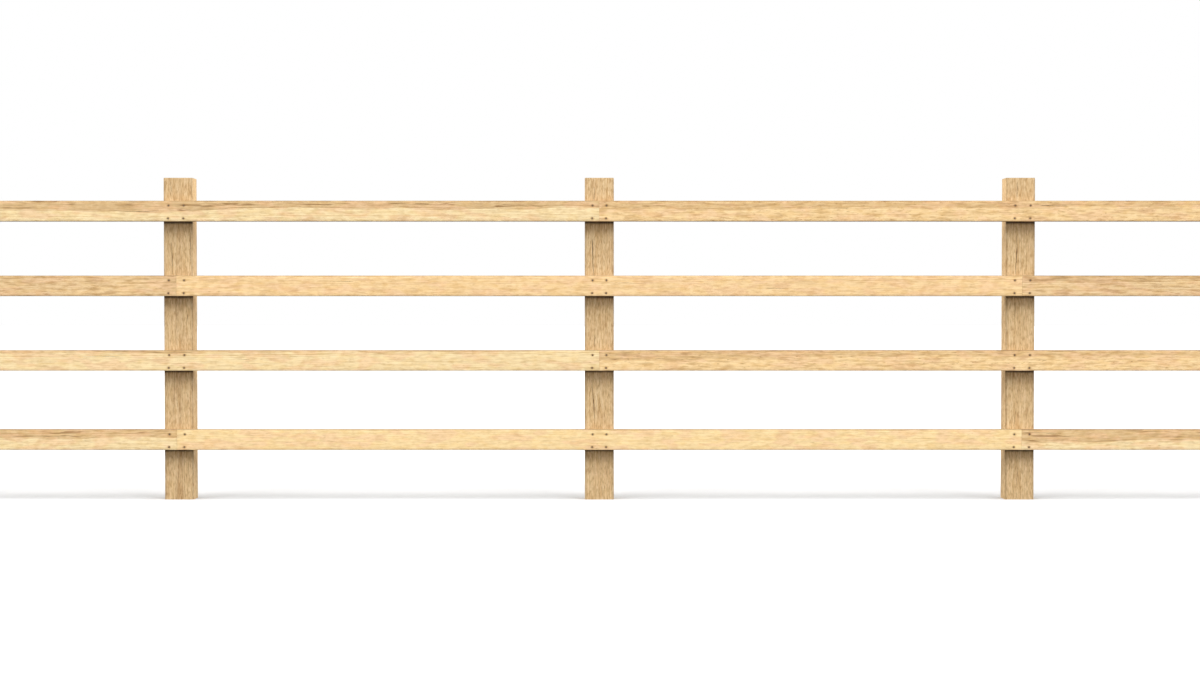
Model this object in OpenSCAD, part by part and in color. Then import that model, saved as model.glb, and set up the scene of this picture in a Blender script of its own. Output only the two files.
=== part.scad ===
// Post and rail timber fence: sawn posts with four rows of rails nailed to their front faces.
// A full rail runs over two bays, and the butt joints of neighbouring rows fall on different posts.
// Origin: middle of the middle post's foot. X along the fence, Y to the back, Z up.

/* [Run] */
// Number of bays, an even number so that a post stands in the middle
bays = 6; // [2:2:6]
// Distance from one post's centre to the next
bay_pitch = 1800; // [1200:10:2700]
// Number of bays that a full rail runs over
rail_bays = 2; // [1:1:2]

/* [Posts] */
// Width of a post, seen from the front
post_w = 125; // [100:1:180]
// Depth of a post, from front to back
post_d = 75; // [50:1:150]
// Height of a post above the top rail
post_over = 100; // [20:1:300]
// Radius of a post's long arrises
post_arris = 4; // [1:0.5:10]
// Radius of the edges of a post's sawn top
post_top_arris = 2.5; // [1:0.5:8]

/* [Rails] */
// Height of a rail's face
rail_h = 88; // [60:1:150]
// Thickness of a rail, from front to back
rail_t = 38; // [20:1:60]
// Radius of a rail's long arrises
rail_arris = 3; // [1:0.5:8]
// Gap between two rail ends that meet on a post
butt_gap = 0.5; // [0.5:0.5:10]
// Distance of the outermost rail ends from the outer faces of the end posts
end_inset = 2; // [0:0.5:20]

/* [Heights] */
// Clear height under the bottom rail
ground_gap = 215; // [50:1:400]
// Clear height between the bottom rail and the lower rail
lower_gap = 250; // [80:1:400]
// Clear height between the lower rail and the upper rail
middle_gap = 230; // [80:1:400]
// Clear height between the upper rail and the top rail
upper_gap = 230; // [80:1:400]

/* [Nail seats] */
// Distance from a rail's top edge to the upper nails
nail_from_top = 21; // [10:0.5:30]
// Distance from a rail's bottom edge to the lower nails
nail_from_bottom = 12.5; // [10:0.5:30]
// Distance between two nails side by side, on the posts where the top rails meet
joint_nails_apart = 59; // [30:1:80]
// Distance between two nails side by side, on the other posts
through_nails_apart = 65; // [30:1:80]
// Sideways step of the upper nails from the lower ones, so that they don't split one line of grain
nail_stagger = 2; // [0:0.5:10]
// Width of the dish that setting a nail head leaves in the face
seat_w = 12; // [8:0.5:16]
// Depth of that dish
seat_depth = 1.2; // [0.4:0.1:3]

/* [Hidden] */
$fn = 48;

// Rows of rails from the ground up, and the clear height under each
ROWS = ["bottom_rail", "lower_rail", "upper_rail", "top_rail"];
ROW_GAPS = [ground_gap, lower_gap, middle_gap, upper_gap];
row_ids = [0 : len(ROWS) - 1];
top_row = len(ROWS) - 1;
post_ids = [0 : bays];

// Post centres, with the middle post on the origin
function post_x(i) = (i - bays / 2) * bay_pitch;

// Underside of a row, stacked from the ground by gaps and rail heights
function row_z(r) = ROW_GAPS[r] + (r == 0 ? 0 : row_z(r - 1) + rail_h);

post_h = row_z(top_row) + rail_h + post_over;
rail_front_y = -post_d / 2 - rail_t;

// Posts where a row's rails meet or end. The top row breaks on the middle post, the next row beside it
function breaks_on(r, i) = (i - bays / 2 + r - top_row) % rail_bays == 0;
function row_stops(r) = concat(0, [for (i = [1 : bays - 1]) if (breaks_on(r, i)) i], bays);
function rail_count(r) = len(row_stops(r)) - 1;

// Ends of a rail: just inside an end post's outer face, or half a butt gap off a post's centre
outer_x = post_x(bays) + post_w / 2 - end_inset;
function rail_from(i) = i == 0 ? -outer_x : post_x(i) + butt_gap / 2;
function rail_to(i) = i == bays ? outer_x : post_x(i) - butt_gap / 2;

// Nails: each rail end that meets another has one upright pair, any other crossing has two
function nails_apart(i) = breaks_on(top_row, i) ? joint_nails_apart : through_nails_apart;
function nail_columns(from, to) = [
    for (i = [from : to], side = [-1, 1])
        let (x = post_x(i) + side * nails_apart(i) / 2)
            if (x > rail_from(from) && x < rail_to(to)) x
];
nail_places = [[-nail_stagger / 2, nail_from_bottom], [nail_stagger / 2, rail_h - nail_from_top]];

// Radius of the ball whose cap is a nail's seat
seat_ball = (seat_w * seat_w / 4 + seat_depth * seat_depth) / (2 * seat_depth);

// Names, counted from the left
function post_name(i) = str("post_", i + 1);
function rail_name(r, k) = str(ROWS[r], "_", k + 1);

// Sawn section with eased arrises, w wide and h high, round the middle of the plane
module eased_section(w, h, r) {
    square([w - 2 * r, h], center = true);
    square([w, h - 2 * r], center = true);
    for (x = [-1, 1], y = [-1, 1])
        translate([x * (w / 2 - r), y * (h / 2 - r)]) circle(r);
}

// Outline of a post from one side: square on the ground, with eased edges at the sawn top
module post_outline(w) {
    r = post_top_arris;
    translate([-w / 2, 0]) square([w, post_h - r]);
    translate([r - w / 2, 0]) square([w - 2 * r, post_h]);
    for (x = [-1, 1])
        translate([x * (w / 2 - r), post_h - r]) circle(r);
}

// Post: its plan drawn up to the top, trimmed to the outlines of its front and its side
module post(i) {
    color("tan") translate([post_x(i), 0, 0]) intersection() {
        linear_extrude(post_h) eased_section(post_w, post_d, post_arris);
        translate([0, post_d, 0]) rotate([90, 0, 0])
            linear_extrude(2 * post_d) post_outline(post_w);
        translate([-post_w, 0, 0]) rotate([90, 0, 90])
            linear_extrude(2 * post_w) post_outline(post_d);
    }
}

// Dish in a rail's front face where a nail head is set
module nail_seat(x, z) {
    translate([x, rail_front_y - seat_ball + seat_depth, z]) sphere(seat_ball);
}

// Rail: its section drawn along the run, its back flat on the posts' front faces, dished for the nails
module rail(r, k) {
    from = row_stops(r)[k];
    to = row_stops(r)[k + 1];
    color("burlywood") difference() {
        translate([rail_from(from), rail_front_y + rail_t / 2, row_z(r) + rail_h / 2])
            rotate([90, 0, 90]) linear_extrude(rail_to(to) - rail_from(from))
                eased_section(rail_t, rail_h, rail_arris);
        for (x = nail_columns(from, to), place = nail_places)
            nail_seat(x + place[0], row_z(r) + place[1]);
    }
}

for (i = post_ids)
    post(i);
for (r = row_ids, k = [0 : rail_count(r) - 1])
    rail(r, k);
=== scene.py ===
# %% [markdown]
# # A post and rail fence, from sawn timber to nail heads
# The fence is seven sawn posts with fourteen rails nailed across their front faces. The frame that is
# loaded here already says where each post and rail stands and how big it is. This lesson gives each timber
# the surface of a real one: eased and worn corners, drying cracks, dished nail seats, driven nails, and
# wood whose rings run right through it.

# %% Load the frame
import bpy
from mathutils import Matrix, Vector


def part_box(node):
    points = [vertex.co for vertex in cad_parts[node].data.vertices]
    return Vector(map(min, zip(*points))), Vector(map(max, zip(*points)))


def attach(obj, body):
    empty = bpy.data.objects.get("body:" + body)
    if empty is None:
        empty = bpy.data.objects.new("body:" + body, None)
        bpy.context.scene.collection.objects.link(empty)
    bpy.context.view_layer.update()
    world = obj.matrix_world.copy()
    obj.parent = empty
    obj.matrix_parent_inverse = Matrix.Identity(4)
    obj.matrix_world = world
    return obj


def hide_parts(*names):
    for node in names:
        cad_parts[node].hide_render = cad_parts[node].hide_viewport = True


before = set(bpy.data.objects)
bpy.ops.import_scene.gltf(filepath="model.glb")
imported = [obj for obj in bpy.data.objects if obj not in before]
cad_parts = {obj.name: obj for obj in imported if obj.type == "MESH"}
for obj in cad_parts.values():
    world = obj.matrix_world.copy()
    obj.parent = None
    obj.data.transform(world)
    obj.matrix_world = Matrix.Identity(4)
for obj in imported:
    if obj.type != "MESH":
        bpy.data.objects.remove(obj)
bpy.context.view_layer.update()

print("timbers in the frame:", len(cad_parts))

# %% Names of the timbers
import math
import random

import bmesh
import bpy
from mathutils import Matrix, Vector

ROWS = ("bottom_rail", "lower_rail", "upper_rail", "top_rail")
POSTS = sorted(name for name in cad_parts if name.startswith("post_"))
RAILS = sorted(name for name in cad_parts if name.rsplit("_", 1)[0] in ROWS)
MIDDLE_POST = POSTS[len(POSTS) // 2]
CORNERS = {name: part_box(name) for name in POSTS + RAILS}
ALONG_FENCE, THROUGH_FENCE, UPWARDS = range(3)
chance = random.Random(11)
print(len(POSTS), "posts and", len(RAILS), "rails")

# %% [markdown]
# ## Camera and light
# The camera stands in front of the middle post, about as high as a person who crouches, and looks slightly
# down through a normal lens. Its distance is measured from the post, so it follows the fence.

# %% Camera
EYE_HEIGHT = 0.830
EYE_DISTANCE = 7.131
EYE_ASIDE = 0.003
EYE_TILT = math.radians(1.09)
LENS = 50

foot = CORNERS[MIDDLE_POST][0]
camera = bpy.data.objects.new("camera", bpy.data.cameras.new("camera"))
camera.data.lens = LENS
camera.location = (EYE_ASIDE, foot.y - EYE_DISTANCE, EYE_HEIGHT)
camera.rotation_euler = (math.pi / 2 - EYE_TILT, 0, 0)
bpy.context.scene.collection.objects.link(camera)
bpy.context.scene.camera = camera
bpy.context.scene.view_settings.view_transform = "Standard"
print("camera stands", EYE_DISTANCE, "metres in front of", MIDDLE_POST)

# %% [markdown]
# Shader trees are easiest to read when each step is one line, so a small helper adds a node and sets or
# links its sockets. Two more do sums, with numbers and with positions.

# %% Node helpers
def add_node(tree, kind, inputs=None, **settings):
    made = tree.nodes.new("ShaderNode" + kind)
    for key, value in settings.items():
        setattr(made, key, value)
    for socket, value in (inputs or {}).items():
        if isinstance(value, bpy.types.NodeSocket):
            tree.links.new(value, made.inputs[socket])
        else:
            made.inputs[socket].default_value = value
    return made


def number(tree, operation, first, second=0.0, third=0.0):
    made = add_node(tree, "Math", {0: first, 1: second, 2: third}, operation=operation)
    return made.outputs[0]


def position(tree, operation, first, second=(0, 0, 0)):
    made = add_node(tree, "VectorMath", {0: first, 1: second}, operation=operation)
    return made.outputs["Value" if operation == "LENGTH" else "Vector"]


def parts_of(tree, place):
    return add_node(tree, "SeparateXYZ", {0: place}).outputs


def empty_tree(owner):
    owner.use_nodes = True
    owner.node_tree.nodes.clear()
    return owner.node_tree


print("node helpers ready")

# %% [markdown]
# The surroundings glow evenly like a white studio's, which lights every face a little, and a very broad
# lamp stands high on each side. Together they leave the soft dark band that a rail throws on the post
# behind it. What the camera and the nail heads see of the surroundings is plain white, while the wood is
# lit at a lower, level strength.

# %% Surroundings and lamps
GLOW = 0.87
LAMP_STRENGTH = 3.30
LAMP_SPREAD = math.radians(50)
LAMP_HEIGHT = math.radians(50)
LAMP_SIDE = math.radians(68)

world = bpy.data.worlds.new("white_surroundings")
bpy.context.scene.world = world
tree = empty_tree(world)
ray = add_node(tree, "LightPath")
seen = number(tree, "MAXIMUM", ray.outputs["Is Camera Ray"], ray.outputs["Is Glossy Ray"])
seen = number(tree, "MAXIMUM", seen, ray.outputs["Is Transmission Ray"])
light = add_node(tree, "Background", {"Color": (1, 1, 1, 1), "Strength": GLOW})
white = add_node(tree, "Background", {"Color": (1, 1, 1, 1)})
either = add_node(tree, "MixShader", {0: seen, 1: light.outputs[0], 2: white.outputs[0]})
add_node(tree, "OutputWorld", {"Surface": either.outputs[0]})

for side in (-1, 1):
    lamp = bpy.data.objects.new("lamp", bpy.data.lights.new("lamp", "SUN"))
    lamp.data.energy = LAMP_STRENGTH
    lamp.data.angle = LAMP_SPREAD
    level = math.cos(LAMP_HEIGHT)
    aside = -side * math.sin(LAMP_SIDE) * level
    shines = Vector((aside, math.cos(LAMP_SIDE) * level, -math.sin(LAMP_HEIGHT)))
    lamp.rotation_euler = shines.to_track_quat("-Z", "Y").to_euler()
    bpy.context.scene.collection.objects.link(lamp)
print("surroundings glow at", GLOW, "and two lamps shine at", LAMP_STRENGTH)

# %% [markdown]
# The floor is a plain pale sheet. The camera sees it just white, and the fence's shadow still darkens it.
# It throws hardly any light back up, so that undersides and shadow bands keep their depth.

# %% Floor
FLOOR_SIZE = 120
FLOOR_SEEN = 0.52
FLOOR_BOUNCE = 0.09

bpy.ops.mesh.primitive_plane_add(size=FLOOR_SIZE, location=(0, 0, foot.z))
floor = bpy.context.object
floor.name = "floor"
sheet = bpy.data.materials.new("pale_floor")
tree = empty_tree(sheet)
pale, dim = (add_node(tree, "BsdfDiffuse", {"Color": (grey, grey, grey, 1)})
             for grey in (FLOOR_SEEN, FLOOR_BOUNCE))
seen = add_node(tree, "LightPath").outputs["Is Camera Ray"]
either = add_node(tree, "MixShader", {0: seen, 1: dim.outputs[0], 2: pale.outputs[0]})
add_node(tree, "OutputMaterial", {"Surface": either.outputs[0]})
floor.data.materials.append(sheet)
print("floor laid at height", round(foot.z, 3))

# %% [markdown]
# ## Sawing the timbers
# Each post and rail leaves the saw as a plain block. A block alone looks like plastic, because real timber
# has eased corners that are knocked about, faces that are not quite flat, and cracks where it has dried.
# A surface can only be worn where it has points to move, so every block is cut into a net of faces.

# %% Choosing what an operator acts on
STRAIGHT = 0.99
SAME_PLACE = 1e-5
RIM_ANGLE = math.radians(45)


def make_active(thing):
    bpy.ops.object.select_all(action="DESELECT")
    thing.select_set(True)
    bpy.context.view_layer.objects.active = thing


def choose(kind, test):
    """Selects only the edges or the faces that pass the test."""
    bpy.ops.mesh.select_all(action="DESELECT")
    cage = bmesh.from_edit_mesh(bpy.context.object.data)
    for piece in getattr(cage, kind):
        if test(piece):
            piece.select_set(True)
    bmesh.update_edit_mesh(bpy.context.object.data)


def runs_along(edge, axis):
    start, end = (corner.co for corner in edge.verts)
    return abs((end - start).normalized()[axis]) > STRAIGHT


def at_rim(edge, axis, place):
    level = all(abs(corner.co[axis] - place) < SAME_PLACE for corner in edge.verts)
    return level and edge.calc_face_angle(0) > RIM_ANGLE


print("selection helpers ready")

# %% [markdown]
# Subdivide cuts every chosen edge into equal parts, and joins the cuts across each face, so choosing all
# the edges that run one way slices the block like bread. The operator takes at most a hundred cuts, so a
# long timber is sliced twice, coarse and then fine.

# %% Slicing a block
MOST_CUTS = 80
FINENESS = 1.0


def slice_along(axis, length, spacing):
    parts = max(1, round(length * FINENESS / spacing))
    coarse = math.ceil(parts / MOST_CUTS)
    for pieces in (coarse, round(parts / coarse)):
        if pieces > 1:
            choose("edges", lambda edge: runs_along(edge, axis))
            bpy.ops.mesh.subdivide(number_cuts=pieces - 1)


print("fineness of the slices:", FINENESS)

# %% [markdown]
# One direction of a timber matters more than the others, its grain. It runs upright in a post and level
# in a rail, so the same functions make both when they know its axis.

# %% The grain of a timber
RAIL_ARRIS = 0.002
POST_ARRIS = 0.003


def grain_of(node):
    return UPWARDS if node in POSTS else ALONG_FENCE


def arris_of(node):
    return POST_ARRIS if node in POSTS else RAIL_ARRIS


def across_grain(grain):
    return [axis for axis in range(3) if axis != grain]


print("corners are eased by", RAIL_ARRIS * 1000, "mm on rails and", POST_ARRIS * 1000, "mm on posts")

# %% [markdown]
# The wear that comes later has to know where it may act. A carpenter calls a long corner an arris. Each
# gets a weight, highest where knocks land, kept as a vertex group, which modifiers read, and as an
# attribute, which materials read. A second group holds all but the last points at the ends, so that every
# sawn end stays flat and a rail keeps its length.

# %% Weights that guide the wear
WEIGHT_AT_RIM = 0.2
WEIGHT_RISE = 3.4
END_KEPT = 0.0003


def arris_weight(point, low, high, across, arris):
    inset = [min(point[axis] - low[axis], high[axis] - point[axis]) for axis in across]
    on_arris = max(inset) < arris * 1.01
    rise = min(1, WEIGHT_RISE * min(inset) / arris)
    return WEIGHT_AT_RIM + (1 - WEIGHT_AT_RIM) * rise if on_arris else 0.0


def weigh_arrises(timber, low, high, across, arris):
    weights = [arris_weight(point.co, low, high, across, arris) for point in timber.data.vertices]
    group = timber.vertex_groups.new(name="arris")
    for place, weight in enumerate(weights):
        group.add([place], weight, "REPLACE")
    mark = timber.data.attributes.new("corner", "FLOAT", "POINT")
    mark.data.foreach_set("value", weights)


def weigh_sides(timber, low, high, grain):
    sides = timber.vertex_groups.new(name="sides")
    for point in timber.data.vertices:
        to_end = min(point.co[grain] - low[grain], high[grain] - point.co[grain])
        if to_end > END_KEPT:
            sides.add([point.index], 1.0, "REPLACE")
        else:
            timber.vertex_groups["arris"].remove([point.index])


print("points within", END_KEPT * 1000, "mm of an end stay where they are")

# %% [markdown]
# Bevels ease the long corners and, a little less, the sawn ends. The corners are weighed while the block
# is still short of points, since the cuts along the grain that follow copy the weights to each new point.

# %% From block to eased timber
ALONG_SPACING = 0.010
ACROSS_SPACING = 0.009
ARRIS_STEPS = 5
END_STEPS = 2
RAIL_END_ARRIS = 0.0002
POST_TOP_ARRIS = 0.0025


def eased_timber(node):
    low, high = CORNERS[node]
    grain = grain_of(node)
    across = across_grain(grain)
    ends = [(low[grain], RAIL_END_ARRIS), (high[grain], RAIL_END_ARRIS)]
    if node in POSTS:
        ends = [(high[grain], POST_TOP_ARRIS)]

    bpy.ops.mesh.primitive_cube_add(size=1, location=(low + high) / 2, scale=high - low, calc_uvs=False)
    timber = bpy.context.object
    timber.name = "sawn_" + node
    bpy.ops.object.transform_apply()

    bpy.ops.object.mode_set(mode="EDIT")
    bpy.ops.mesh.select_mode(type="EDGE")
    choose("edges", lambda edge: runs_along(edge, grain))
    bpy.ops.mesh.bevel(offset=arris_of(node), segments=ARRIS_STEPS)
    for axis in across:
        slice_along(axis, high[axis] - low[axis], ACROSS_SPACING)
    bpy.ops.object.mode_set(mode="OBJECT")
    weigh_arrises(timber, low, high, across, arris_of(node))

    bpy.ops.object.mode_set(mode="EDIT")
    for place, size in ends:
        choose("edges", lambda edge: at_rim(edge, grain, place))
        bpy.ops.mesh.bevel(offset=size, segments=END_STEPS)
    slice_along(grain, high[grain] - low[grain], ALONG_SPACING)
    bpy.ops.object.mode_set(mode="OBJECT")
    weigh_sides(timber, low, high, grain)
    return timber


print("points lie about", ALONG_SPACING * 1000, "mm apart along the grain")

# %% [markdown]
# Wear is a Displace modifier that only pushes inwards, so that no timber grows past its sawn size. Its
# clouds are read through an empty that is stretched along the grain, because timber wears and moves far
# less along its fibres than across them. The empty is also put somewhere new for every timber, so that no
# two wear alike.

# %% Wearing a surface
GRAIN_STRETCH = 7
FACE_CLOUD = 0.045
FACE_WORN = 0.0005
ARRIS_CLOUD = 0.030
ARRIS_WORN = 0.4
NICK_CLOUD = 0.012
NICK_CONTRAST = 3.0
ARRIS_NICKED = 0.35
EVEN = (1, 1, 1)


def wear(timber, size, depth, stretch, group="", contrast=1.0, direction="NORMAL", middle=1.0):
    clouds = bpy.data.textures.new("clouds", "CLOUDS")
    clouds.noise_scale = size
    clouds.contrast = contrast
    guide = bpy.data.objects.new("guide", None)
    guide.location = [chance.uniform(-5, 5) for _ in range(3)]
    guide.scale = stretch
    bpy.context.scene.collection.objects.link(guide)
    bpy.context.view_layer.update()
    make_active(timber)
    push = timber.modifiers.new("wear", "DISPLACE")
    push.texture = clouds
    push.texture_coords = "OBJECT"
    push.texture_coords_object = guide
    push.direction = direction
    push.mid_level = middle
    push.strength = depth
    push.vertex_group = group
    bpy.ops.object.modifier_apply(modifier=push.name)
    bpy.data.objects.remove(guide)
    bpy.data.textures.remove(clouds)


def weather(timber, grain, arris):
    stretch = [GRAIN_STRETCH if axis == grain else 1 for axis in range(3)]
    wear(timber, FACE_CLOUD, FACE_WORN, stretch, "sides")
    wear(timber, ARRIS_CLOUD, arris * ARRIS_WORN, stretch, "arris")
    wear(timber, NICK_CLOUD, arris * ARRIS_NICKED, EVEN, "arris", NICK_CONTRAST)


print("faces are worn by up to", FACE_WORN * 1000, "mm")

# %% [markdown]
# Cracks and nail seats are cut with one Boolean per timber. The crack tool is a spindle, a sphere drawn
# out thin, so that its crack starts and ends in a point and is deepest in the middle. It is modelled once,
# and every copy is sized, bent a little by its own clouds and laid where the crack goes. A crack on a face
# follows one bundle of fibres, gives out and opens again beside it, so it is made of three spindles that
# overlap in steps. The Boolean hands a tool's faces on to the timber with their attributes, so a mark on
# them tells the finish which walls are the inside of a crack.

# %% The crack tool
CRACK_RINGS = 20
CRACK_SIDES = 6
CRACK_CLOUD = 0.035
CRACK_WANDER = 0.004
ONE_STEP = ((0, 1, 1, 0),)
# For each step of a stepped crack: its place and share of the length, its strength and distance aside
SPLIT_STEPS = [
    ((-0.34, 0.32, 0.65, -0.0008), (0.00, 0.50, 1.0, 0.0007), (0.36, 0.28, 0.6, -0.0006)),
    ((-0.25, 0.50, 1.0, -0.0008), (0.13, 0.36, 0.75, 0.0006), (0.38, 0.24, 0.5, -0.0005)),
    ((-0.38, 0.24, 0.5, 0.0006), (-0.14, 0.34, 0.7, -0.0007), (0.24, 0.52, 1.0, 0.0007)),
]

bpy.ops.mesh.primitive_uv_sphere_add(segments=CRACK_SIDES, ring_count=CRACK_RINGS, radius=1,
                                     rotation=(0, math.pi / 2, 0), calc_uvs=False)
crack_tool = bpy.context.object
bpy.ops.object.transform_apply()


def mark_walls(tool, value):
    marks = tool.data.attributes.new("in_crack", "FLOAT", "FACE").data
    marks.foreach_set("value", [value] * len(marks))


def copy_of(original):
    made = original.copy()
    made.data = original.data.copy()
    bpy.context.scene.collection.objects.link(made)
    make_active(made)
    return made


def joined(parts):
    make_active(parts[0])
    for part in parts:
        part.select_set(True)
    bpy.ops.object.join()
    return bpy.context.object


def crack(centre, along, inwards, length, width, depth, steps=ONE_STEP):
    along = Vector(along).normalized()
    inwards = Vector(inwards).normalized()
    sideways = inwards.cross(along)
    turn = Matrix((along, sideways, inwards)).transposed().to_4x4()
    parts = []
    for place, share, strength, aside in steps:
        made = copy_of(crack_tool)
        size = Matrix.Diagonal((length * share / 2, width * strength / 2, depth * strength, 1))
        spot = centre + along * length * place + sideways * aside
        made.matrix_world = Matrix.Translation(spot) @ turn @ size
        bpy.ops.object.transform_apply()
        parts.append(made)
    made = joined(parts)
    main = max(range(3), key=lambda axis: abs(sideways[axis]))
    wear(made, CRACK_CLOUD, CRACK_WANDER, EVEN, direction="XYZ"[main], middle=0.5)
    return made


mark_walls(crack_tool, 1.0)
print("crack tool has", len(crack_tool.data.polygons), "faces")

# %% [markdown]
# A nail that is hammered home dishes the wood around its head. The seat tool is the lens that is left of
# a ball when a plane cuts off all but its cap, so the dish has the ball's curve and a crisp round rim.

# %% The nail seat tool
SEAT_SIDES = 24
SEAT_RINGS = 48
SEAT_BALL = 0.0156
SEAT_DEPTH = 0.0012
SEAT_SPARE = 0.0005

bpy.ops.mesh.primitive_uv_sphere_add(segments=SEAT_SIDES, ring_count=SEAT_RINGS, radius=SEAT_BALL,
                                     location=(0, SEAT_DEPTH - SEAT_BALL, 0),
                                     rotation=(math.pi / 2, 0, 0), calc_uvs=False)
seat_tool = bpy.context.object
bpy.ops.object.transform_apply()
bpy.ops.object.mode_set(mode="EDIT")
bpy.ops.mesh.select_all(action="SELECT")
bpy.ops.mesh.bisect(plane_co=(0, -SEAT_SPARE, 0), plane_no=(0, -1, 0), use_fill=True, clear_outer=True)
bpy.ops.mesh.select_all(action="SELECT")
bpy.ops.mesh.normals_make_consistent(inside=False)
bpy.ops.object.mode_set(mode="OBJECT")
mark_walls(seat_tool, 0.0)


def seat(place):
    made = copy_of(seat_tool)
    made.location = place
    bpy.ops.object.transform_apply()
    return made


print("seat tool has", len(seat_tool.data.polygons), "faces")

# %% [markdown]
# Each crossing has four nails, two near the top of the rail and two near its foot, on both sides of the
# post's middle. Where two rails meet, that leaves two in the end of each. The upper pair is shifted a
# little from the lower one, so that no two enter the same fibres of the post, and on every other post
# the pairs stand closer together.

# %% Where the nails go
NARROW_POSTS = POSTS[1::2]
NARROW_NAILS_APART = 0.059
WIDE_NAILS_APART = 0.065
NAIL_STAGGER = 0.002
NAIL_FROM_TOP = 0.021
NAIL_FROM_BOTTOM = 0.0125


def nail_places(post):
    low, high = CORNERS[post]
    middle = (low.x + high.x) / 2
    apart = NARROW_NAILS_APART if post in NARROW_POSTS else WIDE_NAILS_APART
    places = []
    for row in ROWS:
        rail_low, rail_high = CORNERS[row + "_1"]
        heights = (rail_low.z + NAIL_FROM_BOTTOM, rail_high.z - NAIL_FROM_TOP)
        for height, lean in zip(heights, (-NAIL_STAGGER / 2, NAIL_STAGGER / 2)):
            for side in (-1, 1):
                places.append(Vector((middle + side * apart / 2 + lean, rail_low.y, height)))
    return places


NAILS = {post: nail_places(post) for post in POSTS}


def nails_in(rail):
    low, high = CORNERS[rail]
    every_nail = [place for post in POSTS for place in NAILS[post]]
    return [place for place in every_nail if low.x < place.x < high.x and low.z < place.z < high.z]


print("nails in a middle rail:", len(nails_in(ROWS[-1] + "_2")))

# %% [markdown]
# Timber dries from outside inwards, so its outside shrinks first and tears open in thin cracks. On the
# faces they follow the grain. On a post's sawn top they run out from the pith, the heart of the log. The
# longest splits are named here by the post they are on, and the small ones are drawn by chance, one in
# each of so many equal lengths of a timber, so that no two cross. A timber's tools are joined before they
# cut, because one cut is much quicker than twenty, and the exact solver copes with tools that touch.

# %% Splits that show
SPLIT_DEPTH = 0.010
CRACK_WIDTHS = (0.0008, 0.0016)
TOP_CRACKS = 5
TOP_CRACK_SWAY = 0.25
TOP_CRACK_SHARES = (0.35, 0.6)
TOP_CRACK_DEPTH = 0.009
HARDLY = 0.01
# For each post: aside from its middle, height of the split's middle, length, width and lean
SPLITS = {
    "post_3": [(-0.027, 1.032, 0.145, 0.0023, -0.03), (0.051, 1.074, 0.130, 0.0020, -0.03),
               (0.036, 0.780, 0.070, 0.0016, 0.02), (-0.030, 1.330, 0.060, 0.0016, 0.00)],
    "post_4": [(-0.0255, 0.421, 0.150, 0.0026, -0.07), (-0.027, 1.030, 0.175, 0.0028, -0.04),
               (-0.020, 0.678, 0.055, 0.0017, 0.00), (-0.021, 1.306, 0.065, 0.0018, 0.02)],
    "post_5": [(-0.016, 1.053, 0.170, 0.0025, 0.03), (-0.0205, 0.810, 0.070, 0.0017, 0.00),
               (-0.014, 1.325, 0.070, 0.0017, 0.02)],
}


def named_splits(post):
    low, high = CORNERS[post]
    found = []
    for aside, height, length, width, lean in SPLITS.get(post, []):
        spot = Vector(((low.x + high.x) / 2 + aside, low.y, height))
        found.append((spot, (lean, 0, 1), (0, 1, 0), length, width, SPLIT_DEPTH, chance.choice(SPLIT_STEPS)))
    return found


def top_cracks(post):
    """Cracks on a post's sawn top, turned about its middle by nearly equal steps."""
    low, high = CORNERS[post]
    half = (high - low) / 2
    first = chance.uniform(0, 2 * math.pi)
    found = []
    for step in range(TOP_CRACKS):
        sway = chance.uniform(-TOP_CRACK_SWAY, TOP_CRACK_SWAY)
        angle = first + (step + sway) * 2 * math.pi / TOP_CRACKS
        outwards = Vector((math.cos(angle), math.sin(angle), 0))
        reach = min(half.x / max(abs(outwards.x), HARDLY), half.y / max(abs(outwards.y), HARDLY))
        length = reach * chance.uniform(*TOP_CRACK_SHARES)
        spot = Vector((low.x + half.x, low.y + half.y, high.z)) + outwards * reach * 0.5
        found.append((spot, outwards, (0, 0, -1), length, chance.uniform(*CRACK_WIDTHS), TOP_CRACK_DEPTH))
    return found


print("posts with named splits:", ", ".join(SPLITS))

# %% Small cracks drawn by chance, and the cut
CRACKS_A_TIMBER = 6
CRACK_LENGTHS = (0.3, 1.0)
LONGEST_CRACK = 0.16
CRACK_DEPTHS = (0.004, 0.008)
CRACK_ASIDE = 0.2
CRACK_LEAN = 0.02
BERTH = 0.015
FACES = {
    UPWARDS: [(THROUGH_FENCE, -1), (THROUGH_FENCE, 1), (ALONG_FENCE, -1), (ALONG_FENCE, 1)],
    ALONG_FENCE: [(THROUGH_FENCE, -1), (THROUGH_FENCE, 1), (UPWARDS, 1), (UPWARDS, -1)],
}


def small_cracks(node, others):
    """One crack for each length of the timber, left out where it would come near a nail or a split."""
    low, high = CORNERS[node]
    grain = grain_of(node)
    share = (high[grain] - low[grain]) / CRACKS_A_TIMBER
    found = []
    for place in range(CRACKS_A_TIMBER):
        axis, outwards = chance.choice(FACES[grain])
        other = 3 - grain - axis
        length = chance.uniform(*CRACK_LENGTHS) * LONGEST_CRACK
        spot = Vector()
        spot[axis] = high[axis] if outwards > 0 else low[axis]
        spot[other] = low[other] + (high[other] - low[other]) * chance.uniform(CRACK_ASIDE, 1 - CRACK_ASIDE)
        spot[grain] = low[grain] + place * share + chance.uniform(length / 2, share - length / 2)
        along = Vector()
        along[grain] = 1
        along[other] = chance.uniform(-CRACK_LEAN, CRACK_LEAN)
        inwards = Vector()
        inwards[axis] = -outwards
        width = chance.uniform(*CRACK_WIDTHS)
        depth = chance.uniform(*CRACK_DEPTHS)
        if all(abs(spot[grain] - middle[grain]) > BERTH + (length + room) / 2 for middle, room in others):
            found.append((spot, along, inwards, length, width, depth, chance.choice(SPLIT_STEPS)))
    return found


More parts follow.
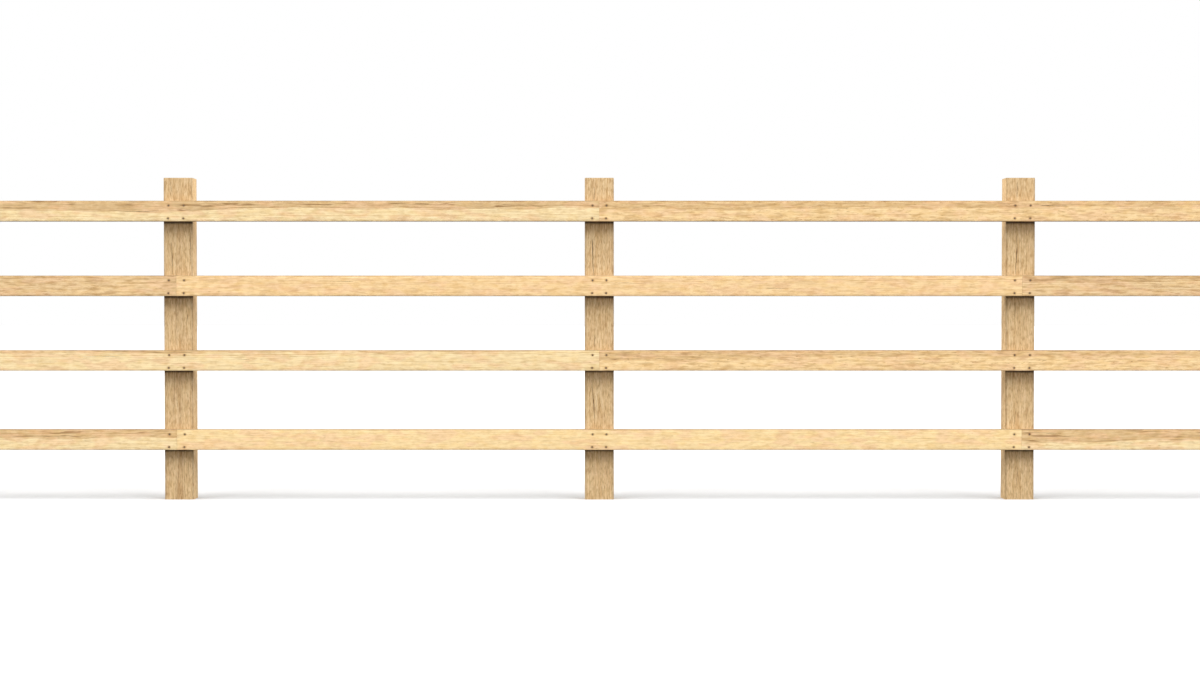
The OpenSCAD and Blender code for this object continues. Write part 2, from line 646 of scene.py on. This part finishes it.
def cut_out(timber, tools):
    tools = joined(tools)
    make_active(timber)
    cut = timber.modifiers.new("cut", "BOOLEAN")
    cut.operation = "DIFFERENCE"
    cut.solver = "EXACT"
    cut.object = tools
    bpy.ops.object.modifier_apply(modifier=cut.name)
    bpy.data.objects.remove(tools)


print("small cracks a timber:", CRACKS_A_TIMBER)

# %% [markdown]
# ## Nails
# One round wire nail is modelled whole, from a cylinder whose front is inset and lifted into a shallow
# dome and whose back is drawn out into the shank and its point. The copies are turned and tilted a
# little, as nails driven by hand are, and joined into one piece a post.

# %% One nail
NAIL_SIDES = 20
NAIL_HEAD_RADIUS = 0.0038
NAIL_HEAD_THICKNESS = 0.0012
NAIL_HEAD_INSETS = (0.12, 0.3, 0.3)
NAIL_DOME = 0.0002
NAIL_SHANK_RADIUS = 0.0019
NAIL_SHANK = 0.080
NAIL_POINT = 0.006
NAIL_POINT_SHARE = 0.1
NAIL_SUNK = 0.0005
NAIL_SMOOTH = math.radians(40)
FACING = 0.9

bpy.ops.mesh.primitive_cylinder_add(vertices=NAIL_SIDES, radius=NAIL_HEAD_RADIUS, depth=NAIL_HEAD_THICKNESS,
                                    location=(0, NAIL_SUNK + NAIL_HEAD_THICKNESS / 2, 0),
                                    rotation=(math.pi / 2, 0, 0))
nail = bpy.context.object
bpy.ops.object.transform_apply()
bpy.ops.object.mode_set(mode="EDIT")
bpy.ops.mesh.select_mode(type="FACE")
choose("faces", lambda face: face.normal.y > FACING)
bpy.ops.mesh.inset(thickness=NAIL_HEAD_RADIUS - NAIL_SHANK_RADIUS)
bpy.ops.mesh.extrude_region_move(TRANSFORM_OT_translate={"value": (0, NAIL_SHANK, 0)})
bpy.ops.mesh.extrude_region_move(TRANSFORM_OT_translate={"value": (0, NAIL_POINT, 0)})
bpy.ops.transform.resize(value=(NAIL_POINT_SHARE, 1, NAIL_POINT_SHARE))
choose("faces", lambda face: face.normal.y < -FACING)
bpy.ops.mesh.inset(thickness=NAIL_HEAD_RADIUS * NAIL_HEAD_INSETS[0])
for share in NAIL_HEAD_INSETS[1:]:
    bpy.ops.transform.translate(value=(0, -NAIL_DOME / 2, 0))
    bpy.ops.mesh.inset(thickness=NAIL_HEAD_RADIUS * share)
bpy.ops.object.mode_set(mode="OBJECT")
bpy.ops.object.shade_smooth_by_angle(angle=NAIL_SMOOTH)
print("one nail has", len(nail.data.polygons), "faces")

# %% Driving the nails
NAIL_TILT = math.radians(4)

for post in POSTS:
    driven = []
    for place in NAILS[post]:
        made = copy_of(nail)
        made.location = place
        made.rotation_euler = (chance.uniform(-NAIL_TILT, NAIL_TILT), chance.uniform(0, 2 * math.pi), 0)
        bpy.ops.object.transform_apply()
        driven.append(made)
    nails = joined(driven)
    nails.name = "nails_" + post
    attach(nails, "root")
bpy.data.objects.remove(nail)
print("nails a post:", len(driven))

# %% [markdown]
# ## Wood
# Wood grain is not a picture on the surface. It is the yearly rings of the log, cut through by the saw, so
# this finish is worked out inside the whole timber. Each point finds how far it lies from the pith, the
# log's centre, and that distance says which year's wood it is. One recipe then gives long lines on the
# faces, arched figures where the log tapers and curved rings on the cut ends, and they all meet at the
# corners. An image wrapped round the block could not do that.

# %% Helpers for patterns inside the wood
def own_place(tree):
    return add_node(tree, "TexCoord").outputs["Object"]


def noise(tree, place, scale=1.0, detail=2.0, rough=0.5):
    made = add_node(tree, "TexNoise", {
        "Vector": place, "Scale": scale, "Detail": detail, "Roughness": rough})
    return made.outputs


def cloud(tree, place, along, across, detail=2.0, moved=0.0, rough=0.5):
    """Noise whose patches are about so many metres long with the grain, and so many across it."""
    squeezed = add_node(tree, "Mapping", {
        "Vector": place, "Location": (moved, moved, moved), "Scale": (1 / along, 1 / across, 1 / across)})
    return noise(tree, squeezed.outputs[0], detail=detail, rough=rough)[0]


def ramp(tree, value, low, high, start=0.0, end=1.0):
    """Climbs smoothly from start to end while the value goes from low to high."""
    made = add_node(tree, "MapRange", {0: value, 1: low, 2: high, 3: start, 4: end},
                    interpolation_type="SMOOTHSTEP")
    return made.outputs[0]


def blend(tree, amount, first, second, way="MIX"):
    made = add_node(tree, "Mix", {0: amount}, data_type="RGBA", blend_type=way)
    for socket, value in ((made.inputs[6], first), (made.inputs[7], second)):
        if isinstance(value, bpy.types.NodeSocket):
            tree.links.new(value, socket)
        else:
            socket.default_value = (*value, 1)
    return made.outputs[2]


def stain(tree, colour, amount, shade):
    """Lays a thin see-through shade over the colour, as much as the amount says."""
    return blend(tree, amount, colour, shade, "MULTIPLY")


def tone(red, green, blue):
    """A colour as paint charts give it, from 0 to 255, in the linear numbers that light needs."""
    return tuple(((part / 255 + 0.055) / 1.055) ** 2.4 for part in (red, green, blue))


print("patterns ready")

# %% [markdown]
# The first helper turns the fence's own places into places seen from a timber's pith, with X along the
# grain. No log is quite straight or round, so slow noise moves each point a little sideways before its
# distance is taken. Within a year the wood darkens slowly and then stops short, and years differ in width.

# %% The log that a timber was sawn from
WANDER_SCALE = (1.6, 9, 9)
WANDER_DETAIL = 3.0
YEARS_ALIKE = 3.0
YEARS_DRIFT = 3.0
YEARS_PLACE = 7.0
LATE_CLIMB = (0.30, 0.88)
LATE_STOP = (0.92, 1.0)


def from_pith(tree, grain, pith):
    moved = position(tree, "SUBTRACT", own_place(tree), pith)
    turn = (0, math.pi / 2, 0) if grain == UPWARDS else (0, 0, 0)
    return add_node(tree, "Mapping", {"Vector": moved, "Rotation": turn}).outputs[0]


def wandering(tree, log, reach):
    slow = add_node(tree, "Mapping", {"Vector": log, "Scale": WANDER_SCALE}).outputs[0]
    drift = noise(tree, slow, detail=WANDER_DETAIL)[1]
    drift = position(tree, "SUBTRACT", drift, (0.5, 0.5, 0.5))
    drift = position(tree, "MULTIPLY", drift, (0, reach, reach))
    return position(tree, "ADD", log, drift)


def distance_from_pith(tree, log, taper):
    radius = position(tree, "LENGTH", position(tree, "MULTIPLY", log, (0, 1, 1)))
    return number(tree, "MULTIPLY_ADD", parts_of(tree, log)[0], taper, radius)


def late_wood(tree, radius, ring):
    years = number(tree, "DIVIDE", radius, ring)
    line = add_node(tree, "CombineXYZ", {0: years}).outputs[0]
    lean_and_fat_years = cloud(tree, line, YEARS_ALIKE, 1.0, moved=YEARS_PLACE)
    years = number(tree, "MULTIPLY_ADD", lean_and_fat_years, YEARS_DRIFT, years)
    season = number(tree, "FRACT", years)
    climb = ramp(tree, season, *LATE_CLIMB)
    stop = ramp(tree, season, *LATE_STOP, 1.0, 0.0)
    return number(tree, "MULTIPLY", climb, stop)


print("log helpers ready")

# %% [markdown]
# Sawn timbers from one yard still differ: one was cut near the heart and is banded, one is all pale
# outer wood, one has lain in the sun. Each look is a list of choices that the one recipe reads. After two
# colours come six measures: where the pith runs behind the front face and above the top edge, how far
# below that edge the heart still shows, how wide a year is, and how much the log tapers and wanders. The
# rest say how strong each layer of colour is, from none at 0 to full at 1.

# %% The looks of the timbers
PLAIN_LOOK = dict(
    pale=tone(255, 230, 181), heart=tone(240, 206, 156), pith_depth=0.070, pith_height=0.050,
    heart_reach=-0.050, ring=0.0042, taper=0.004, wander=0.020, blush=0.45, gold=0.8, patches=0.6,
    late=0.6, streaks=0.5, threads=0.5, mottle=0.5, flecks=0.4, lines=0.3, grey=0.0)
LOOKS = {
    "banded": dict(PLAIN_LOOK, pale=tone(255, 234, 188), heart=tone(230, 200, 153), heart_reach=0.042,
                   lines=0.9),
    "edged": dict(PLAIN_LOOK, pale=tone(255, 233, 186), heart=tone(232, 202, 154), heart_reach=0.011,
                  lines=0.9, mottle=0.4),
    "flecked": dict(PLAIN_LOOK, pale=tone(255, 225, 174), heart=tone(237, 205, 155), heart_reach=0.028,
                    flecks=0.9, streaks=0.8),
    "clear": dict(PLAIN_LOOK, pale=tone(255, 228, 176), late=0.35, blush=0.5, streaks=0.35, mottle=0.4),
    "peach": dict(PLAIN_LOOK, pale=tone(254, 222, 171), late=0.45),
    "dull": dict(PLAIN_LOOK, pale=tone(246, 216, 169), heart=tone(230, 198, 150), heart_reach=0.020,
                 streaks=0.95, grey=0.4),
    "half": dict(PLAIN_LOOK, pale=tone(255, 234, 188), heart=tone(232, 201, 153), heart_reach=0.043,
                 lines=0.8),
    "post": dict(PLAIN_LOOK, pale=tone(246, 216, 169), heart=tone(238, 207, 161), pith_depth=0.045,
                 pith_height=0.0, heart_reach=-0.01, blush=0.1, gold=0.3, streaks=0.95,
                 streaks_size=(0.022, 0.0045), threads=1.0, lines=0.35, grey=0.2),
}
print("looks:", ", ".join(LOOKS))

# %% [markdown]
# The colour is built up in thin layers. First come pale outer wood and darker heart, a faint blush of pink
# and patches of gold and of duller wood. Then come the rings' late wood, long streaks and fine threads of
# darker fibre, a mottling, short flecks of resin, and the thin dark lines that run beside the heart's
# edge. Nearly every layer is a cloud of its own size, cut off below one level and full above another. All
# but the first two are stains, which can only darken what is below them, as a real stain does.

# %% The layers of colour
BLUSH = tone(250, 210, 170)
LATE_SHADE = (0.79, 0.685, 0.54)
# For each layer: its shade, the length and width of its patches, detail, roughness, place and two levels
LAYERS = {
    "blush": (BLUSH, 0.10, 0.03, 1.0, 0.5, 3.0, 0.48, 0.62),
    "gold": ((1.0, 0.970, 0.89), 0.05, 0.016, 2.0, 0.5, 5.0, 0.45, 0.65),
    "patches": ((0.93, 0.90, 0.84), 0.045, 0.022, 2.0, 0.5, 9.0, 0.42, 0.62),
    "streaks": ((0.73, 0.665, 0.58), 0.060, 0.008, 4.0, 0.5, 11.0, 0.46, 0.66),
    "threads": ((0.77, 0.71, 0.63), 0.05, 0.0016, 3.0, 0.65, 19.0, 0.45, 0.70),
    "mottle": ((0.86, 0.79, 0.70), 0.028, 0.012, 2.0, 0.5, 23.0, 0.42, 0.64),
    "flecks": ((0.50, 0.40, 0.30), 0.022, 0.0024, 1.0, 0.5, 29.0, 0.66, 0.76),
    "lines": ((0.52, 0.43, 0.34), 0.20, 0.03, 2.0, 0.5, 37.0, 0.42, 0.56),
}


def laid(tree, colour, name, log, look, part=None):
    """The colour with one layer over it, or over only that part of it."""
    shade, along, across, detail, rough, moved, low, high = LAYERS[name]
    along, across = look.get(name + "_size", (along, across))
    amount = cloud(tree, log, along, across, detail, moved, rough)
    amount = ramp(tree, amount, low, high, 0.0, look[name])
    if part is not None:
        amount = number(tree, "MULTIPLY", part, amount)
    return blend(tree, amount, colour, shade, "MIX" if name == "blush" else "MULTIPLY")


print("layers laid by clouds:", ", ".join(LAYERS))

# %% Colour of the bare wood
RAGGED = 0.034
RAGGED_PATCH = (0.24, 0.02, 3.0)
HEART_SOFT = 0.0025
LINE_GAP = 0.006
LINE_WIDTH = (0.0005, 0.0018)
LINE_OUTSIDE = (0.004, 0.001)


def beside_heart(tree, edge):
    away = number(tree, "PINGPONG", number(tree, "ADD", edge, LINE_GAP), LINE_GAP)
    line = ramp(tree, away, *LINE_WIDTH, 1.0, 0.0)
    return number(tree, "MULTIPLY", line, ramp(tree, edge, *LINE_OUTSIDE))


def bare_wood(tree, log, radius, look, heart_radius):
    ragged = number(tree, "MULTIPLY_ADD", cloud(tree, log, *RAGGED_PATCH), RAGGED, radius)
    edge = number(tree, "SUBTRACT", ragged, heart_radius + RAGGED / 2)
    inside = ramp(tree, edge, HEART_SOFT, -HEART_SOFT)
    late = late_wood(tree, radius, look["ring"])
    colour = blend(tree, inside, look["pale"], look["heart"])
    for name in ("blush", "gold", "patches"):
        colour = laid(tree, colour, name, log, look)
    colour = stain(tree, colour, number(tree, "MULTIPLY", late, look["late"]), LATE_SHADE)
    for name in ("streaks", "threads", "mottle", "flecks"):
        colour = laid(tree, colour, name, log, look)
    return laid(tree, colour, "lines", log, look, beside_heart(tree, edge)), late


print("the heart's edge wanders by", RAGGED * 1000, "mm")

# %% [markdown]
# What happened to the sawn timber comes last. Faces that look at the sky are darker, partly as weathering
# and partly as painted shade that tones down the strong light from above. Cut ends drink water and darken,
# knocked corners are a little dirty, crack walls carry painted shade, and each face is darker towards its
# edges, which below a rail's upper edge is painted shade. A post's front has painted shade that makes it a
# little duller than its sides, and just below every rail it has a thin dark line of painted shadow. These
# marks are placed from the sizes in the frame, so they follow a timber that is moved.

# %% Weather and wear on the colour
GREY_PATCH = (0.30, 0.04, 3.0)
GREY_PLACE = 43.0
GREY_LEVELS = (0.35, 0.65)
GREY_SHADE = (0.86, 0.86, 0.88)
# Upward faces: partly weathering, partly painted shade against the strong light from above
SKY_LEVELS = (0.10, 0.75)
SKY_PATCHY = 0.2
SKY_WEATHER_AND_SHADE = (0.55, 0.575, 0.63)
# Painted shade on a post's front, so that its sides look lighter
FRONT_LEVELS = (-0.3, -0.8)
FRONT_PAINTED_SHADE = (0.89, 0.89, 0.89)
# A thin painted shadow on a post's front just below each rail
PAINTED_SHADOW_BELOW = 0.004
PAINTED_SHADOW_PATCHY = 0.008
PAINTED_SHADOW_LEVELS = (0.014, 0.002)
PAINTED_SHADOW_COLOUR = (0.22, 0.22, 0.24)
END_LEVELS = (0.35, 0.75)
END_SHADE = (0.72, 0.66, 0.60)
DIRT_PATCH = (0.06, 0.05, 3.0)
DIRT_LEVELS = (0.35, 0.65)
CORNER_SHADE = (0.88, 0.87, 0.85)
EDGE_REACH = {UPWARDS: 0.017, ALONG_FENCE: 0.008}
EDGE_LEVELS = (1.3, 0.4)
EDGE_SHADE = {UPWARDS: (0.70, 0.70, 0.72), ALONG_FENCE: (0.66, 0.60, 0.52)}
# Painted shade inside cracks, full a little below the mouth
CRACK_DARK = 0.0015
CRACK_PAINTED_SHADE = (0.30, 0.24, 0.19)


def attribute(tree, name):
    return add_node(tree, "Attribute", attribute_name=name).outputs["Fac"]


def from_edge(tree, grain, low, high):
    """How far a point lies from a post's nearest upright edge, or below a rail's upper edges."""
    aside = position(tree, "SUBTRACT", own_place(tree), (low + high) / 2)
    if grain == UPWARDS:
        aside = position(tree, "ABSOLUTE", aside)
    inset = parts_of(tree, position(tree, "SUBTRACT", (high - low) / 2, aside))
    if grain == ALONG_FENCE:
        return inset[UPWARDS]
    return number(tree, "MAXIMUM", inset[ALONG_FENCE], inset[THROUGH_FENCE])


def from_rails(tree, patchy):
    """How far a point on a post lies from the painted shadow line below the nearest rail."""
    height = number(tree, "MULTIPLY_ADD", patchy, PAINTED_SHADOW_PATCHY, parts_of(tree, own_place(tree))[UPWARDS])
    nearest = 1.0
    for row in ROWS:
        away = number(tree, "SUBTRACT", height, CORNERS[row + "_1"][0].z + PAINTED_SHADOW_BELOW)
        nearest = number(tree, "MINIMUM", nearest, number(tree, "ABSOLUTE", away))
    return nearest


def outdoors(tree, colour, log, grain, look, low, high):
    faces = parts_of(tree, add_node(tree, "NewGeometry").outputs["Normal"])
    patchy = cloud(tree, log, *GREY_PATCH, moved=GREY_PLACE)
    colour = stain(tree, colour, ramp(tree, patchy, *GREY_LEVELS, 0.0, look["grey"]), GREY_SHADE)
    # Upward faces are darkened, partly as weathering and partly as painted shade against the strong light
    # from above.
    to_sky = number(tree, "MULTIPLY_ADD", patchy, SKY_PATCHY, faces[UPWARDS])
    colour = stain(tree, colour, ramp(tree, to_sky, *SKY_LEVELS), SKY_WEATHER_AND_SHADE)
    near_edge = number(tree, "MULTIPLY_ADD", patchy, EDGE_REACH[grain], from_edge(tree, grain, low, high))
    near_edge = ramp(tree, near_edge, *(EDGE_REACH[grain] * level for level in EDGE_LEVELS))
    if grain == UPWARDS:
        # A post's front gets painted shade, so that its sides look lighter than its front.
        front = ramp(tree, faces[THROUGH_FENCE], *FRONT_LEVELS)
        colour = stain(tree, colour, front, FRONT_PAINTED_SHADE)
        # A thin painted shadow lies on a post's front just below each rail.
        painted_shadow = ramp(tree, from_rails(tree, patchy), *PAINTED_SHADOW_LEVELS)
        colour = stain(tree, colour, number(tree, "MULTIPLY", painted_shadow, front), PAINTED_SHADOW_COLOUR)
        near_edge = number(tree, "MULTIPLY", near_edge, front)
    cut_end = ramp(tree, number(tree, "ABSOLUTE", faces[grain]), *END_LEVELS)
    colour = stain(tree, colour, cut_end, END_SHADE)
    dirt = ramp(tree, cloud(tree, log, *DIRT_PATCH), *DIRT_LEVELS)
    colour = stain(tree, colour, number(tree, "MULTIPLY", attribute(tree, "corner"), dirt), CORNER_SHADE)
    # Near its edges a face darkens; below a rail's upper edge this is painted shade that dulls the light its
    # top corner catches.
    colour = stain(tree, colour, near_edge, EDGE_SHADE[grain])
    # Crack walls get painted shade, full a little below the mouth.
    return stain(tree, colour, ramp(tree, attribute(tree, "depth"), 0.0, CRACK_DARK), CRACK_PAINTED_SHADE)


print("weather ready")

# %% [markdown]
# Steel nails have left a brown stain in the rail around them, and it creeps further along the grain than
# across it. Each face's corners carry the distance to the nearest nail in metres as a UV map, because a
# UV map is exact inside a face however coarse the net is.

# %% The stain round a nail
STAIN_DRAWN = (0.8, 1, 1)
STAIN_PATCH = (0.015, 0.002, 2.0)
STAIN_PLACE = 53.0
STAIN_RAGGED = 0.006
STAIN_LEVELS = (0.0055, 0.0120)
STAIN_SHADE = (0.66, 0.56, 0.44)


def nail_stain(tree, colour, log):
    offset = add_node(tree, "UVMap", uv_map="to_nail").outputs[0]
    drawn = add_node(tree, "Mapping", {"Vector": offset, "Scale": STAIN_DRAWN}).outputs[0]
    fibres = cloud(tree, log, *STAIN_PATCH, moved=STAIN_PLACE)
    reach = number(tree, "MULTIPLY_ADD", fibres, STAIN_RAGGED, position(tree, "LENGTH", drawn))
    return stain(tree, colour, ramp(tree, reach, *STAIN_LEVELS, 1.0, 0.0), STAIN_SHADE)


print("nails stain the wood up to", STAIN_LEVELS[1] * 1000, "mm away")

# %% [markdown]
# One function puts the finish together, once for every timber, because each has a log of its own. Bump
# gives the wood its touch: raised late wood, fine fibres, and the faint marks that the saw left across
# the grain.

# %% The finish of one timber
PITH_ASIDE = (-0.02, 0.02)
PITH_BACK = (-0.01, 0.02)
PITH_ALONG = (-8, 8)
FIBRE_PATCH = (0.03, 0.0012, 3.0)
FIBRE_PLACE = 61.0
SAW_PATCH = (0.0022, 0.05, 2.0)
SAW_PLACE = 67.0
LATE_RAISED = 0.5
SAW_RAISED = 0.35
BUMP_HEIGHT = 0.0004
BUMP_STRENGTH = 0.8
FIBRE_LEVELS = (0.2, 0.8)
ROUGHNESS = (0.66, 0.86)
SHEEN_OF_WOOD = 0.3


def surface(tree, height, relief, strength, sockets):
    bump = add_node(tree, "Bump", {"Height": height, "Distance": relief, "Strength": strength})
    made = add_node(tree, "BsdfPrincipled", {"Normal": bump.outputs[0], **sockets})
    add_node(tree, "OutputMaterial", {"Surface": made.outputs[0]})


def timber_finish(node, look):
    made = bpy.data.materials.new("wood_of_" + node)
    tree = empty_tree(made)
    grain = grain_of(node)
    low, high = CORNERS[node]
    middle = (low + high) / 2
    pith = Vector((middle.x, low.y + look["pith_depth"], high.z + look["pith_height"]))
    if grain == UPWARDS:
        pith.x = middle.x + chance.uniform(*PITH_ASIDE)
        pith.y += chance.uniform(*PITH_BACK)
    pith[grain] = chance.uniform(*PITH_ALONG)
    heart_radius = math.hypot(look["pith_depth"], look["pith_height"] + look["heart_reach"])
    heart_radius += look["taper"] * (middle - pith)[grain]

    log = wandering(tree, from_pith(tree, grain, pith), look["wander"])
    radius = distance_from_pith(tree, log, look["taper"])
    colour, late = bare_wood(tree, log, radius, look, heart_radius)
    colour = outdoors(tree, colour, log, grain, look, low, high)
    if node in RAILS:
        colour = nail_stain(tree, colour, log)

    fibres = cloud(tree, log, *FIBRE_PATCH, moved=FIBRE_PLACE)
    saw = cloud(tree, log, *SAW_PATCH, moved=SAW_PLACE)
    height = number(tree, "MULTIPLY_ADD", late, LATE_RAISED, fibres)
    height = number(tree, "MULTIPLY_ADD", saw, SAW_RAISED, height)
    surface(tree, height, BUMP_HEIGHT, BUMP_STRENGTH, {
        "Base Color": colour, "Roughness": ramp(tree, fibres, *FIBRE_LEVELS, *ROUGHNESS),
        "Specular IOR Level": SHEEN_OF_WOOD})
    return made


print("wood finish ready")

# %% [markdown]
# Two marks on the mesh steer the finish: how deep a crack's wall lies, which sets its painted shade, and
# how far it is to the nearest nail, which sets the nail stain. A crack's walls are found by the mark that
# the Boolean brought over. Their painted shade starts a little outside the mouth, so that not even its rim
# catches the light.

# %% Marks that the finish reads
CRACK_LIP = 0.0010


def mark_depth(timber, low, high):
    """How deep each corner of a crack's walls lies. All else keeps a depth of none."""
    depth = timber.data.attributes.new("depth", "FLOAT", "CORNER").data
    in_crack = timber.data.attributes["in_crack"].data
    for face in timber.data.polygons:
        if in_crack[face.index].value > 0.5:
            for corner in face.loop_indices:
                point = timber.data.vertices[timber.data.loops[corner].vertex_index].co
                depth[corner].value = min(*(point - low), *(high - point)) + CRACK_LIP


def mark_nails(timber, places):
    offset = timber.data.uv_layers.new(name="to_nail")
    for face in timber.data.polygons:
        nearest = min(places, key=lambda place: (place - face.center).length_squared)
        for corner in face.loop_indices:
            point = timber.data.vertices[timber.data.loops[corner].vertex_index].co
            offset.data[corner].uv = (point.x - nearest.x, point.z - nearest.z)


print("crack walls count as", CRACK_LIP * 1000, "mm deeper than they lie")

# %% [markdown]
# Programs that know nothing of these shaders need the colours baked into a square picture for each piece.
# A rail laid out whole would be a thin line across it. So its skin is cut into a few lengths, and the four
# sides of each are laid under one another like strips of veneer, with the two sawn ends in a row of their
# own. The layout is a UV map that nothing here reads.

# %% Laying out a timber's skin
SKIN_LENGTHS = {UPWARDS: 2, ALONG_FENCE: 3}
STRIP_GAP = 0.004
LENGTH_GAP = 0.016


def off_plane(place, plane):
    axis, corner = plane
    return abs(place[axis] - corner[axis])


def lay_out_skin(timber, low, high, grain):
    size = high - low
    across = across_grain(grain)
    lengths = SKIN_LENGTHS[grain]
    share = size[grain] / lengths
    sides = [(axis, end) for axis in across for end in (low, high)]
    widths = [size[sum(across) - axis] + STRIP_GAP for axis, end in sides]
    sheet = (share + LENGTH_GAP, lengths * sum(widths) + size[across[1]])
    planes = sides + [(grain, low), (grain, high)]
    skin = []
    for face in timber.data.polygons:
        middle = face.center
        nearest = min(range(len(planes)), key=lambda side: off_plane(middle, planes[side]))
        part = min(lengths - 1, int((middle[grain] - low[grain]) / share))
        if nearest < len(sides):
            run, rise = grain, sum(across) - planes[nearest][0]
            left = LENGTH_GAP / 2 - part * share
            up = part * sum(widths) + sum(widths[:nearest])
        else:
            run, rise = across
            left = (nearest - len(sides)) * (size[run] + STRIP_GAP)
            up = lengths * sum(widths)
        turned_over = (nearest % 2 == 0) == ((rise - run) % 3 == 1)
        for corner in face.vertices:
            point = timber.data.vertices[corner].co - low
            height = size[rise] - point[rise] if turned_over else point[rise]
            skin += [(point[run] + left) / sheet[0], (height + up) / sheet[1]]
    timber.data.uv_layers.new(name="OFBake").data.foreach_set("uv", skin)


print("a rail's skin is laid out in", SKIN_LENGTHS[ALONG_FENCE], "lengths")

# %% [markdown]
# ## Making every timber
# Each timber is now sawn and eased, weathered, cut with its cracks and nail seats, marked and finished.
# The looks of a row are dealt out in turn, so that neighbours differ.

# %% From plain block to finished timber
TIMBER_SMOOTH = math.radians(20)
LOOKS_IN = {
    "post": ("post",), "bottom_rail": ("half", "clear"), "lower_rail": ("flecked", "edged"),
    "upper_rail": ("dull", "peach"), "top_rail": ("flecked", "banded"),
}


def look_of(node):
    row, place = node.rsplit("_", 1)
    looks = LOOKS_IN[row]
    return LOOKS[looks[(int(place) - 1) % len(looks)]]


def cracks_in(node):
    if node in RAILS:
        return small_cracks(node, [(place, 0.0) for place in nails_in(node)])
    splits = named_splits(node)
    taken = [(spot, length) for spot, along, inwards, length, *rest in splits]
    return splits + top_cracks(node) + small_cracks(node, taken)


def finished_timber(node):
    low, high = CORNERS[node]
    grain = grain_of(node)
    timber = eased_timber(node)
    weather(timber, grain, arris_of(node))
    tools = [crack(*one) for one in cracks_in(node)]
    if node in RAILS:
        tools += [seat(place) for place in nails_in(node)]
    cut_out(timber, tools)
    make_active(timber)
    bpy.ops.object.shade_smooth_by_angle(angle=TIMBER_SMOOTH)
    mark_depth(timber, low, high)
    if node in RAILS:
        mark_nails(timber, nails_in(node))
    lay_out_skin(timber, low, high, grain)
    timber.data.materials.append(timber_finish(node, look_of(node)))
    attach(timber, "root")
    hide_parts(node)
    return timber


TIMBERS = {node: finished_timber(node) for node in POSTS + RAILS}
bpy.data.objects.remove(crack_tool)
bpy.data.objects.remove(seat_tool)
print("timbers finished:", len(TIMBERS))

# %% [markdown]
# A Boolean can leave a gap without a word, so the timbers are measured. Each has to be closed, to fill
# nearly all of its sawn block, and to stand out of that block nowhere.

# %% Measuring the timbers
triangles = 0
open_edges = 0
smallest_share = 1.0
proud = -math.inf
for node, timber in TIMBERS.items():
    low, high = CORNERS[node]
    checked = bmesh.new()
    checked.from_mesh(timber.data)
    triangles += sum(len(face.verts) - 2 for face in checked.faces)
    open_edges += sum(not edge.is_manifold for edge in checked.edges)
    smallest_share = min(smallest_share, checked.calc_volume(signed=True) / math.prod(high - low))
    proud = max(proud, *(max(*(low - point.co), *(point.co - high)) for point in checked.verts))
    checked.free()
print("triangles in the timbers:", triangles, "and open edges:", open_edges)
print("least share of its sawn block that a timber fills:", round(smallest_share, 4))
print("furthest that one stands out of it, in millimetres:", round(proud * 1000, 3))

# %% [markdown]
# The nails are plain steel wire that has been out in the rain. Where it has rusted, it is browner, rougher
# and hardly metallic any more. One material serves all of them.

# %% Steel
SPOT_SCALE = 600.0
SPOT_DETAIL = 3.0
DULL_STEEL = (0.215, 0.150, 0.095)
RUST = (0.150, 0.082, 0.042)
RUST_LEVELS = (0.45, 0.62)
METAL_LEVELS = (0.40, 0.65, 0.7, 0.1)
ROUGH_LEVELS = (0.4, 0.7, 0.45, 0.8)
PITTED = 0.0002
PITTING = 0.6

steel = bpy.data.materials.new("nail_steel")
tree = empty_tree(steel)
spots = noise(tree, own_place(tree), SPOT_SCALE, SPOT_DETAIL)[0]
colour = blend(tree, ramp(tree, spots, *RUST_LEVELS), DULL_STEEL, RUST)
surface(tree, spots, PITTED, PITTING, {
    "Base Color": colour, "Metallic": ramp(tree, spots, *METAL_LEVELS),
    "Roughness": ramp(tree, spots, *ROUGH_LEVELS)})
for post in POSTS:
    bpy.data.objects["nails_" + post].data.materials.append(steel)
print("steel is on", len(POSTS), "sets of nails")
